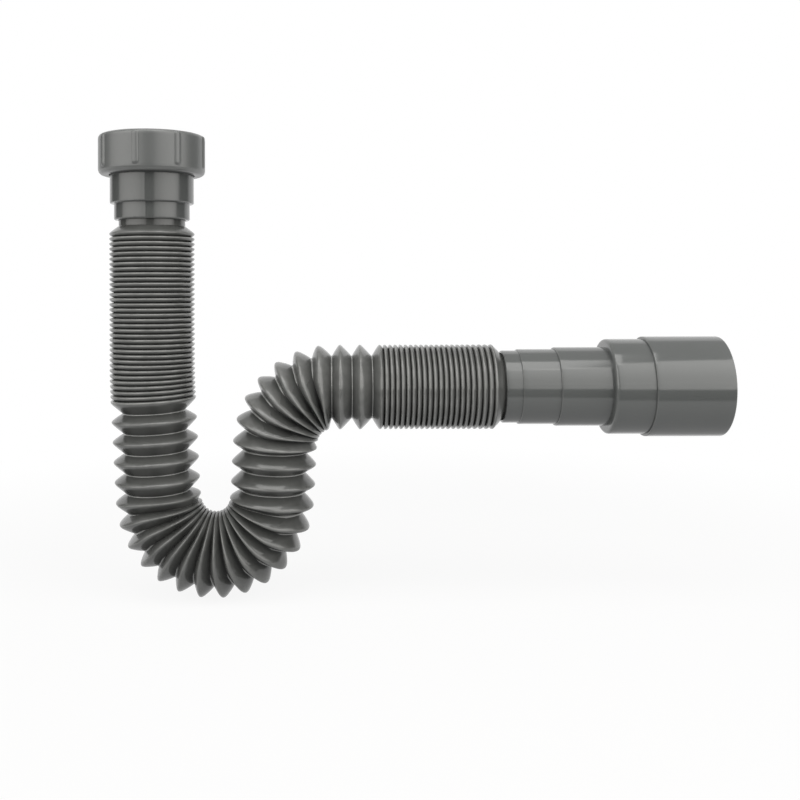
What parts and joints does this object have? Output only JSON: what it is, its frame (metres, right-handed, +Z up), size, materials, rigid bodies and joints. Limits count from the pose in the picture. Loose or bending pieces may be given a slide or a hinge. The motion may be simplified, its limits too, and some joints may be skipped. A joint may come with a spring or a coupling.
{
  "type": "p trap",
  "caption": "Flexible sink drain trap: union nut and cuff, corrugated hose folded into a water seal, and a stepped outlet adapter.",
  "frame": {"origin": "centre of the sealing washer's top face, where the sink's tailpiece seats inside the union nut", "axes": "+Z up along the inlet's axis, out of the union nut; +X level along the outlet, from the inlet towards the adapter's mouth; the hose's bends lie in the plane Y = 0, and the picture looks along +Y"},
  "size_m": [0.317, 0.055, 0.2356],
  "materials": {
    "nut_plastic": "satin",
    "cuff_plastic": "satin",
    "hose_plastic": "satin",
    "adapter_plastic": "satin",
    "washer_rubber": "matte"
  },
  "bodies": {
    "inlet_cuff": {"inlet_cuff": "cuff_plastic", "hose_neck_ribs": "hose_plastic"},
    "sealing_washer": {"sealing_washer": "washer_rubber"},
    "union_nut": {"union_nut": "nut_plastic"},
    "upper_run": {"hose_upper_stack": "hose_plastic"},
    "upper_limb": {"hose_fold_01": "hose_plastic", "hose_fold_02": "hose_plastic", "hose_fold_03": "hose_plastic", "hose_fold_04": "hose_plastic", "hose_fold_05": "hose_plastic"},
    "fold_06": {"hose_fold_06": "hose_plastic"},
    "fold_07": {"hose_fold_07": "hose_plastic"},
    "fold_08": {"hose_fold_08": "hose_plastic"},
    "fold_09": {"hose_fold_09": "hose_plastic"},
    "fold_10": {"hose_fold_10": "hose_plastic"},
    "fold_11": {"hose_fold_11": "hose_plastic"},
    "fold_12": {"hose_fold_12": "hose_plastic"},
    "fold_13": {"hose_fold_13": "hose_plastic"},
    "fold_14": {"hose_fold_14": "hose_plastic"},
    "fold_15": {"hose_fold_15": "hose_plastic"},
    "fold_16": {"hose_fold_16": "hose_plastic"},
    "fold_17": {"hose_fold_17": "hose_plastic"},
    "right_limb": {"hose_fold_18": "hose_plastic", "hose_fold_19": "hose_plastic", "hose_fold_20": "hose_plastic", "hose_fold_21": "hose_plastic"},
    "fold_22": {"hose_fold_22": "hose_plastic"},
    "fold_23": {"hose_fold_23": "hose_plastic"},
    "fold_24": {"hose_fold_24": "hose_plastic"},
    "fold_25": {"hose_fold_25": "hose_plastic"},
    "fold_26": {"hose_fold_26": "hose_plastic"},
    "outlet_limb": {"hose_fold_27": "hose_plastic", "hose_fold_28": "hose_plastic", "hose_fold_29": "hose_plastic", "hose_outlet_stack": "hose_plastic"},
    "outlet_run": {"hose_end_ribs": "hose_plastic"},
    "outlet_adapter": {"outlet_adapter": "adapter_plastic"}
  },
  "joints": [
    {"name": "nut_spin", "type": "hinge", "parent": "inlet_cuff", "child": "sealing_washer", "pos_m": [0, 0, 0], "axis": [0, 0, 1], "continuous": true},
    {"name": "nut_slide", "type": "slide", "parent": "sealing_washer", "child": "union_nut", "axis": [0, 0, -1], "range_m": [0, 0.026]},
    {"name": "upper_swing", "type": "hinge", "parent": "inlet_cuff", "child": "upper_run", "pos_m": [0, 0, -0.049], "axis": [1, 0, 0], "range_deg": [-15, 15], "deforming": ["hose_neck_ribs"]},
    {"name": "upper_extend", "type": "slide", "parent": "upper_run", "child": "upper_limb", "axis": [0, 0, -1], "range_m": [0, 0.183], "deforming": ["hose_upper_stack"]},
    {"name": "seal_bend", "type": "hinge", "parent": "upper_limb", "child": "fold_06", "pos_m": [-0.01212, 0, -0.18028], "axis": [0, 1, 0], "range_deg": [0, 13.42]},
    {"name": "seal_bend_07", "type": "hinge", "parent": "fold_06", "child": "fold_07", "pos_m": [-0.00919, 0, -0.19035], "axis": [0, 1, 0], "range_deg": [0, 13.42]},
    {"name": "seal_bend_08", "type": "hinge", "parent": "fold_07", "child": "fold_08", "pos_m": [-0.00402, 0, -0.19946], "axis": [0, 1, 0], "range_deg": [0, 13.42]},
    {"name": "seal_bend_09", "type": "hinge", "parent": "fold_08", "child": "fold_09", "pos_m": [0.00314, 0, -0.20712], "axis": [0, 1, 0], "range_deg": [0, 13.42]},
    {"name": "seal_bend_10", "type": "hinge", "parent": "fold_09", "child": "fold_10", "pos_m": [0.01187, 0, -0.21291], "axis": [0, 1, 0], "range_deg": [0, 13.42]},
    {"name": "seal_bend_11", "type": "hinge", "parent": "fold_10", "child": "fold_11", "pos_m": [0.02171, 0, -0.21651], "axis": [0, 1, 0], "range_deg": [0, 13.42]},
    {"name": "seal_bend_12", "type": "hinge", "parent": "fold_11", "child": "fold_12", "pos_m": [0.03211, 0, -0.21774], "axis": [0, 1, 0], "range_deg": [0, 13.42]},
    {"name": "seal_bend_13", "type": "hinge", "parent": "fold_12", "child": "fold_13", "pos_m": [0.04252, 0, -0.21651], "axis": [0, 1, 0], "range_deg": [0, 13.42]},
    {"name": "seal_bend_14", "type": "hinge", "parent": "fold_13", "child": "fold_14", "pos_m": [0.05236, 0, -0.21291], "axis": [0, 1, 0], "range_deg": [0, 13.42]},
    {"name": "seal_bend_15", "type": "hinge", "parent": "fold_14", "child": "fold_15", "pos_m": [0.06109, 0, -0.20712], "axis": [0, 1, 0], "range_deg": [0, 13.42]},
    {"name": "seal_bend_16", "type": "hinge", "parent": "fold_15", "child": "fold_16", "pos_m": [0.06824, 0, -0.19946], "axis": [0, 1, 0], "range_deg": [0, 13.42]},
    {"name": "seal_bend_17", "type": "hinge", "parent": "fold_16", "child": "fold_17", "pos_m": [0.07342, 0, -0.19035], "axis": [0, 1, 0], "range_deg": [0, 13.42]},
    {"name": "seal_bend_18", "type": "hinge", "parent": "fold_17", "child": "right_limb", "pos_m": [0.07634, 0, -0.18028], "axis": [0, 1, 0], "range_deg": [0, 13.42]},
    {"name": "elbow_bend", "type": "hinge", "parent": "right_limb", "child": "fold_22", "pos_m": [0.04757, 0, -0.13773], "axis": [0, 1, 0], "range_deg": [-13.42, 0]},
    {"name": "elbow_bend_23", "type": "hinge", "parent": "fold_22", "child": "fold_23", "pos_m": [0.05049, 0, -0.12767], "axis": [0, 1, 0], "range_deg": [-13.42, 0]},
    {"name": "elbow_bend_24", "type": "hinge", "parent": "fold_23", "child": "fold_24", "pos_m": [0.05567, 0, -0.11856], "axis": [0, 1, 0], "range_deg": [-13.42, 0]},
    {"name": "elbow_bend_25", "type": "hinge", "parent": "fold_24", "child": "fold_25", "pos_m": [0.06282, 0, -0.1109], "axis": [0, 1, 0], "range_deg": [-13.42, 0]},
    {"name": "elbow_bend_26", "type": "hinge", "parent": "fold_25", "child": "fold_26", "pos_m": [0.07156, 0, -0.10511], "axis": [0, 1, 0], "range_deg": [-13.42, 0]},
    {"name": "elbow_bend_27", "type": "hinge", "parent": "fold_26", "child": "outlet_limb", "pos_m": [0.08139, 0, -0.1015], "axis": [0, 1, 0], "range_deg": [-13.42, 0]},
    {"name": "outlet_extend", "type": "slide", "parent": "outlet_limb", "child": "outlet_run", "axis": [1, 0, 0], "range_m": [0, 0.105], "deforming": ["hose_outlet_stack"]},
    {"name": "outlet_swing", "type": "hinge", "parent": "outlet_run", "child": "outlet_adapter", "pos_m": [0.165, 0, -0.11628], "axis": [0, 0, 1], "range_deg": [-15, 15], "deforming": ["hose_end_ribs"]}
  ],
  "couplings": [
    {"joint": "seal_bend_07", "follows": "seal_bend", "ratio": 1},
    {"joint": "seal_bend_08", "follows": "seal_bend", "ratio": 1},
    {"joint": "seal_bend_09", "follows": "seal_bend", "ratio": 1},
    {"joint": "seal_bend_10", "follows": "seal_bend", "ratio": 1},
    {"joint": "seal_bend_11", "follows": "seal_bend", "ratio": 1},
    {"joint": "seal_bend_12", "follows": "seal_bend", "ratio": 1},
    {"joint": "seal_bend_13", "follows": "seal_bend", "ratio": 1},
    {"joint": "seal_bend_14", "follows": "seal_bend", "ratio": 1},
    {"joint": "seal_bend_15", "follows": "seal_bend", "ratio": 1},
    {"joint": "seal_bend_16", "follows": "seal_bend", "ratio": 1},
    {"joint": "seal_bend_17", "follows": "seal_bend", "ratio": 1},
    {"joint": "seal_bend_18", "follows": "seal_bend", "ratio": 1},
    {"joint": "elbow_bend_23", "follows": "elbow_bend", "ratio": 1},
    {"joint": "elbow_bend_24", "follows": "elbow_bend", "ratio": 1},
    {"joint": "elbow_bend_25", "follows": "elbow_bend", "ratio": 1},
    {"joint": "elbow_bend_26", "follows": "elbow_bend", "ratio": 1},
    {"joint": "elbow_bend_27", "follows": "elbow_bend", "ratio": 1}
  ]
}
